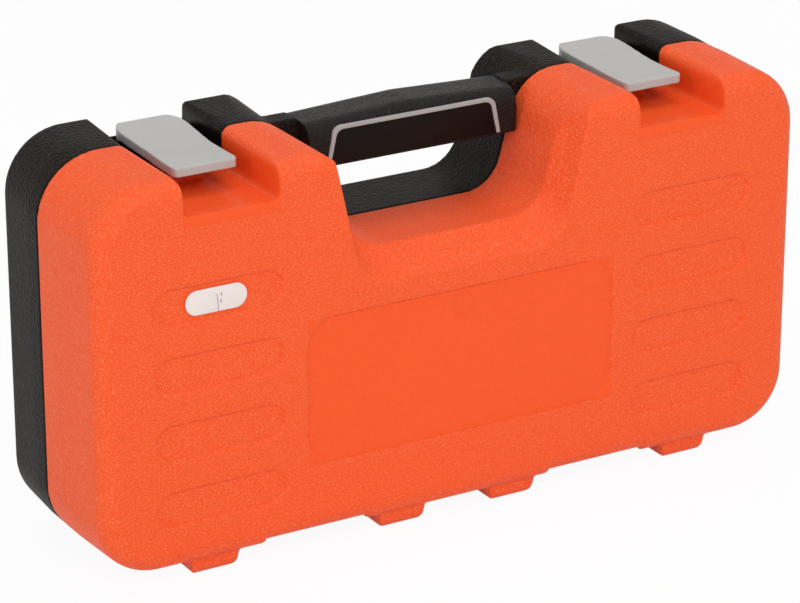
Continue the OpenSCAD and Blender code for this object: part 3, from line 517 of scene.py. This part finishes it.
# ------------------------------------------------------------------ bead
# A thin grey bead that frames the pad on three sides and stands a little proud.
BEAD_VOXEL, BEAD_PASSES, BEAD_TRIANGLES = 0.3 * MM, 4, 40000
bead = cast_of("grip_bead", "bead_moulding")
mould(bead, BEAD_VOXEL, BEAD_PASSES, BEAD_TRIANGLES)
stands_for(bead, "grip_bead")
bead_rubber = Finish("grey_bead", **{"Specular IOR Level": 0.4})
bead_rubber.wear(colour=bead_rubber.mix(bead_rubber.noise(90.0), (0.34, 0.335, 0.33, 1),
                                        (0.40, 0.395, 0.39, 1)),
                 roughness=0.42 + 0.1 * bead_rubber.noise(300.0))
dress(bead, bead_rubber.material)

# ------------------------------------------------------------------ label
# A white sticker in the upper left pill, with a faint generic print: a fold line and two small spots.
label_low, label_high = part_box("label_plate")
label_mid = (label_low + label_high) / 2
label = trimmed("label_plate", "label_sticker", 0.12 * MM)
stands_for(label, "label_plate", "lid")
vinyl = Finish("white_vinyl", **{"Specular IOR Level": 0.4})
label_axes = vinyl.axes()
across, up = label_axes[0] - label_mid.x, label_axes[2] - label_mid.z
FOLD_X, FOLD_LEAN, FOLD_HALF, FOLD_TOP = 0.6 * MM, 0.06, 0.32 * MM, 2.6 * MM
fold = abs(across - FOLD_X + up * FOLD_LEAN).below(FOLD_HALF) * up.below(FOLD_TOP)


def spot(dx, dz):
    return (abs(across - dx) * 0.55 + abs(up - dz) * 0.25).below(0.34 * MM)


print_mask = fold.most(spot(2.6 * MM, 2.0 * MM)).most(spot(2.3 * MM, -1.2 * MM))
ghost = abs(across + 2.2 * MM).below(1.9 * MM) * abs(up - 2.4 * MM).below(1.5 * MM)
sheet_white = vinyl.mix(vinyl.noise(40.0), (0.80, 0.735, 0.70, 1), (0.83, 0.765, 0.73, 1))
with_ghost = vinyl.mix(ghost * 0.35, sheet_white, (0.68, 0.62, 0.58, 1))
ink_share = print_mask * (0.45 + 0.5 * vinyl.noise(500.0))
vinyl.wear(colour=vinyl.mix(ink_share, with_ghost, (0.35, 0.26, 0.25, 1)),
           roughness=0.4 + 0.05 * vinyl.noise(300.0))
dress(label, vinyl.material)

# ------------------------------------------------------------------ ratchet
# Forged chrome vanadium steel with a satin plate: body, cover, round drive with its square, lever and
# quick-release button.
satin = Finish("satin_chrome", Metallic=1.0)
satin.wear(colour=satin.mix(satin.noise(40.0), (0.64, 0.64, 0.655, 1), (0.72, 0.72, 0.73, 1)),
           roughness=0.19 + 0.10 * satin.noise(500.0),
           normal=satin.bump(satin.noise(1200.0), 0.02 * MM, 0.4))
ground = Finish("ground_steel", Metallic=1.0)
ground.wear(colour=ground.mix(ground.noise(60.0), (0.44, 0.44, 0.455, 1), (0.52, 0.52, 0.54, 1)),
            roughness=0.28 + 0.12 * ground.noise(400.0))
RATCHET = [
    ("ratchet_body", "chrome_satin", "base", 0.9, satin),
    ("ratchet_cover", "chrome_satin", "base", 0.3, satin),
    ("drive_gear", "tool_steel", "ratchet_drive", 0.25, ground),
    ("reversing_lever", "tool_steel", "reversing_lever", 0.5, ground),
    ("release_button", "tool_steel", "release_button", 0.8, ground),
]
for node, slot, body, edge, finish in RATCHET:
    piece = trimmed(node, f"{node}_forged", edge * MM)
    stands_for(piece, node, body)
    dress(piece, finish.material)
for node in ("ratchet_pawl", "drive_balls", "ratchet_ball", "joint_pins"):
    dress(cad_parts[node], ground.material)

# ------------------------------------------------------------------ ratchet handle
# The sleeve on the ratchet's bar, moulded in black plastic with a waist and finger rings.
HANDLE_RINGS, RING_DIP, WAIST_SHARE, BELLY_SHARE = 9, 0.9 * MM, 0.9, 0.99
RING_FROM, RING_PITCH = 0.10, 0.075
HANDLE_END_GAP, DISC_DEPTH = 0.1 * MM, 0.2 * MM
handle_low, handle_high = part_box("ratchet_grip")
handle_mid = (handle_low + handle_high) / 2
handle_r = (handle_high.z - handle_low.z) / 2
handle_len = handle_high.x - handle_low.x


def turned(name, first, length, profile):
    """A round piece along X: a disc whose end is drawn out step by step to the profile's radii."""
    bpy.ops.object.select_all(action="DESELECT")
    bpy.ops.mesh.primitive_cylinder_add(vertices=48, radius=profile[0][1], depth=DISC_DEPTH,
                                        location=first, rotation=(0, math.pi / 2, 0))
    piece = bpy.context.object
    piece.name = name
    bpy.ops.object.transform_apply(location=True, rotation=True, scale=True)
    bpy.ops.object.mode_set(mode="EDIT")
    bpy.ops.mesh.select_mode(type="FACE")
    bpy.ops.mesh.select_all(action="DESELECT")
    bpy.ops.object.mode_set(mode="OBJECT")
    for polygon in piece.data.polygons:
        polygon.select = polygon.normal.x > 0.9
    bpy.ops.object.mode_set(mode="EDIT")
    at, radius = 0.0, profile[0][1]
    for share, new_radius in profile[1:]:
        step = share * length - at
        at += step
        bpy.ops.mesh.extrude_region_move(TRANSFORM_OT_translate={"value": (step, 0, 0)})
        grow = new_radius / radius
        bpy.ops.transform.resize(value=(1, grow, grow),
                                 center_override=(first[0] + at, first[1], first[2]))
        radius = new_radius
    bpy.ops.object.mode_set(mode="OBJECT")
    only(piece)
    bpy.ops.object.shade_smooth_by_angle(angle=HARD_ANGLE)
    return piece


profile = [(0.0, 0.62 * handle_r), (0.006, 0.80 * handle_r), (0.02, 0.90 * handle_r),
           (0.06, 0.94 * handle_r)]
for i in range(HANDLE_RINGS):
    start = RING_FROM + RING_PITCH * i
    belly = handle_r * (WAIST_SHARE + (BELLY_SHARE - WAIST_SHARE) * math.sin(math.pi * start))
    profile += [(start, belly), (start + 0.012, belly - RING_DIP), (start + 0.03, belly - RING_DIP),
                (start + 0.042, belly)]
profile += [(0.82, 0.985 * handle_r), (0.93, 0.99 * handle_r), (0.975, 0.93 * handle_r),
            (0.992, 0.78 * handle_r), (1.0, 0.5 * handle_r)]
handle = turned("ratchet_handle_sleeve", (handle_low.x + HANDLE_END_GAP, handle_mid.y, handle_mid.z),
                handle_len - 2 * HANDLE_END_GAP, profile)
stands_for(handle, "ratchet_grip")
handle_plastic = Finish("handle_plastic", **{"Specular IOR Level": 0.4})
handle_plastic.wear(colour=handle_plastic.mix(handle_plastic.noise(30.0), (0.013, 0.013, 0.014, 1),
                                              (0.018, 0.018, 0.019, 1)),
                    roughness=0.42 + 0.1 * handle_plastic.noise(300.0),
                    normal=handle_plastic.bump(handle_plastic.noise(1500.0), 0.1 * MM, 0.5))
dress(handle, handle_plastic.material)

# ------------------------------------------------------------------ extensions and joint
# Two turned bars with a square at one end and a socket at the other, and a cross joint between forks;
# the bars and forks satin plated, the cross in ground steel.
for node, edge in (("long_extension", 0.5), ("short_extension", 0.5), ("joint_female_fork", 0.6),
                   ("joint_male_fork", 0.5), ("joint_cross", 0.4)):
    piece = trimmed(node, f"{node}_forged", edge * MM)
    cross = node == "joint_cross"
    stands_for(piece, node)
    dress(piece, (ground if cross else satin).material)

# ------------------------------------------------------------------ sockets
# Hexagon and spark plug sockets, forged and plated. A turned groove near the drive end marks each, and
# the plug sockets hold a rubber sleeve.
GROOVE_UP, GROOVE_R, SOCKET_EDGE = 9 * MM, 0.55 * MM, 0.5 * MM


def grooved(piece, node):
    low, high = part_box(node)
    radius = (high.x - low.x) / 2
    bpy.ops.object.select_all(action="DESELECT")
    middle = (low + high) / 2
    bpy.ops.mesh.primitive_torus_add(major_radius=radius, minor_radius=GROOVE_R, major_segments=64,
                                     minor_segments=10, location=(middle.x, middle.y, low.z + GROOVE_UP))
    cutter = bpy.context.object
    bpy.ops.object.transform_apply(location=True, rotation=True, scale=True)
    apply_modifier(piece, "BOOLEAN", operation="DIFFERENCE", object=cutter, solver="EXACT")
    bpy.data.objects.remove(cutter)
    only(piece)
    bpy.ops.object.shade_smooth_by_angle(angle=HARD_ANGLE)


for node in sorted(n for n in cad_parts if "socket_" in n):
    piece = trimmed(node, f"{node}_forged", SOCKET_EDGE)
    grooved(piece, node)
    stands_for(piece, node)
    dress(piece, satin.material)

insert_rubber = Finish("insert_rubber")
insert_rubber.wear(colour=insert_rubber.mix(insert_rubber.noise(60.0), (0.012, 0.012, 0.012, 1),
                                            (0.018, 0.018, 0.018, 1)),
                   roughness=0.55 + 0.1 * insert_rubber.noise(300.0))
dress(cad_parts["plug_inserts"], insert_rubber.material)
